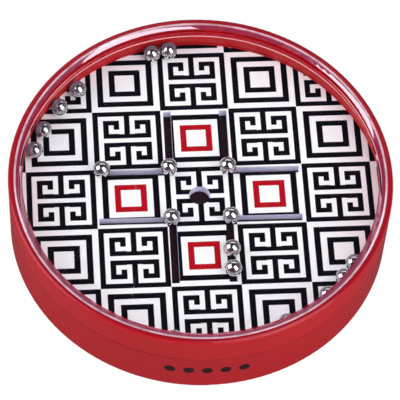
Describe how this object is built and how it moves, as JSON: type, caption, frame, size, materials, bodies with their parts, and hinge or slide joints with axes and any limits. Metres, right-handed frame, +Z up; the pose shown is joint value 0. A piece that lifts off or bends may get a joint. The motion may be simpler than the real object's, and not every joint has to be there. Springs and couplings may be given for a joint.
{
  "type": "hand-held ball puzzle",
  "caption": "Round hand-held tilt puzzle: flat red case, printed board with slots and a centre hole, and loose steel balls under a clear cover.",
  "frame": {"origin": "centre of the case's underside", "axes": "+Z up through the clear cover; X and Y run along the board's slots, and -Y is the side with the printed dots"},
  "size_m": [0.0882, 0.0882, 0.0201],
  "materials": {
    "case_red": "satin moulded plastic",
    "clear_plastic": "clear polished",
    "print": "black, white and red print",
    "board_white": "matt white",
    "backing_dark": "matt dark",
    "steel": "polished bearing steel"
  },
  "bodies": {
    "case": {"lower_tub": "case_red", "upper_ring": "case_red", "clear_cover": "clear_plastic", "printed_sheet": "print", "slotted_board": "board_white", "dark_backing": "backing_dark"},
    "corner_ball_nw": {"corner_ball_nw": "steel"},
    "corner_ball_ne": {"corner_ball_ne": "steel"},
    "corner_ball_sw": {"corner_ball_sw": "steel"},
    "corner_ball_se": {"corner_ball_se": "steel"},
    "slot_ball_west": {"slot_ball_west": "steel"},
    "slot_ball_south_inner": {"slot_ball_south_inner": "steel"},
    "slot_ball_south_outer": {"slot_ball_south_outer": "steel"},
    "rim_ball_01": {"rim_ball_01": "steel"},
    "rim_ball_02": {"rim_ball_02": "steel"},
    "rim_ball_03": {"rim_ball_03": "steel"},
    "rim_ball_04": {"rim_ball_04": "steel"},
    "rim_ball_05": {"rim_ball_05": "steel"},
    "rim_ball_06": {"rim_ball_06": "steel"},
    "rim_ball_07": {"rim_ball_07": "steel"},
    "rim_ball_08": {"rim_ball_08": "steel"},
    "rim_ball_09": {"rim_ball_09": "steel"},
    "rim_ball_10": {"rim_ball_10": "steel"},
    "rim_ball_11": {"rim_ball_11": "steel"}
  },
  "joints": [
    {"name": "corner_ball_nw_slide", "type": "slide", "parent": "case", "child": "corner_ball_nw", "axis": [0, 1, 0], "range_m": [0, 0.0158]},
    {"name": "corner_ball_ne_slide", "type": "slide", "parent": "case", "child": "corner_ball_ne", "axis": [1, 0, 0], "range_m": [0, 0.0158]},
    {"name": "corner_ball_sw_slide", "type": "slide", "parent": "case", "child": "corner_ball_sw", "axis": [0, -1, 0], "range_m": [0, 0.0158]},
    {"name": "corner_ball_se_slide", "type": "slide", "parent": "case", "child": "corner_ball_se", "axis": [1, 0, 0], "range_m": [0, 0.0158]},
    {"name": "slot_ball_west_slide", "type": "slide", "parent": "case", "child": "slot_ball_west", "axis": [1, 0, 0], "range_m": [0, 0.0113]},
    {"name": "slot_ball_south_inner_slide", "type": "slide", "parent": "case", "child": "slot_ball_south_inner", "axis": [0, 1, 0], "range_m": [-0.0006, 0.0045]},
    {"name": "slot_ball_south_outer_slide", "type": "slide", "parent": "case", "child": "slot_ball_south_outer", "axis": [0, 1, 0], "range_m": [-0.0017, 0.0006]},
    {"name": "rim_ball_01_round", "type": "hinge", "parent": "case", "child": "rim_ball_01", "pos_m": [0, 0, 0.01335], "axis": [0, 0, 1], "range_deg": [-80, 0]},
    {"name": "rim_ball_02_round", "type": "hinge", "parent": "case", "child": "rim_ball_02", "pos_m": [0, 0, 0.01335], "axis": [0, 0, 1], "range_deg": [0, 23]},
    {"name": "rim_ball_03_slide", "type": "slide", "parent": "case", "child": "rim_ball_03", "axis": [0.7071, -0.7071, 0], "range_m": [0, 0.022]},
    {"name": "rim_ball_04_slide", "type": "slide", "parent": "case", "child": "rim_ball_04", "axis": [0.7071, -0.7071, 0], "range_m": [0, 0.018]},
    {"name": "rim_ball_05_slide", "type": "slide", "parent": "case", "child": "rim_ball_05", "axis": [0.7071, -0.7071, 0], "range_m": [0, 0.009]},
    {"name": "rim_ball_06_round", "type": "hinge", "parent": "case", "child": "rim_ball_06", "pos_m": [0, 0, 0.01335], "axis": [0, 0, 1], "range_deg": [0, 60]},
    {"name": "rim_ball_07_round", "type": "hinge", "parent": "case", "child": "rim_ball_07", "pos_m": [0, 0, 0.01335], "axis": [0, 0, 1], "range_deg": [-25, 0]},
    {"name": "rim_ball_08_round", "type": "hinge", "parent": "case", "child": "rim_ball_08", "pos_m": [0, 0, 0.01335], "axis": [0, 0, 1], "range_deg": [-25, 0]},
    {"name": "rim_ball_09_slide", "type": "slide", "parent": "case", "child": "rim_ball_09", "axis": [-0.7071, 0.7071, 0], "range_m": [0, 0.022]},
    {"name": "rim_ball_10_slide", "type": "slide", "parent": "case", "child": "rim_ball_10", "axis": [-0.7071, 0.7071, 0], "range_m": [0, 0.018]},
    {"name": "rim_ball_11_round", "type": "hinge", "parent": "case", "child": "rim_ball_11", "pos_m": [0, 0, 0.01335], "axis": [0, 0, 1], "range_deg": [0, 36]}
  ]
}
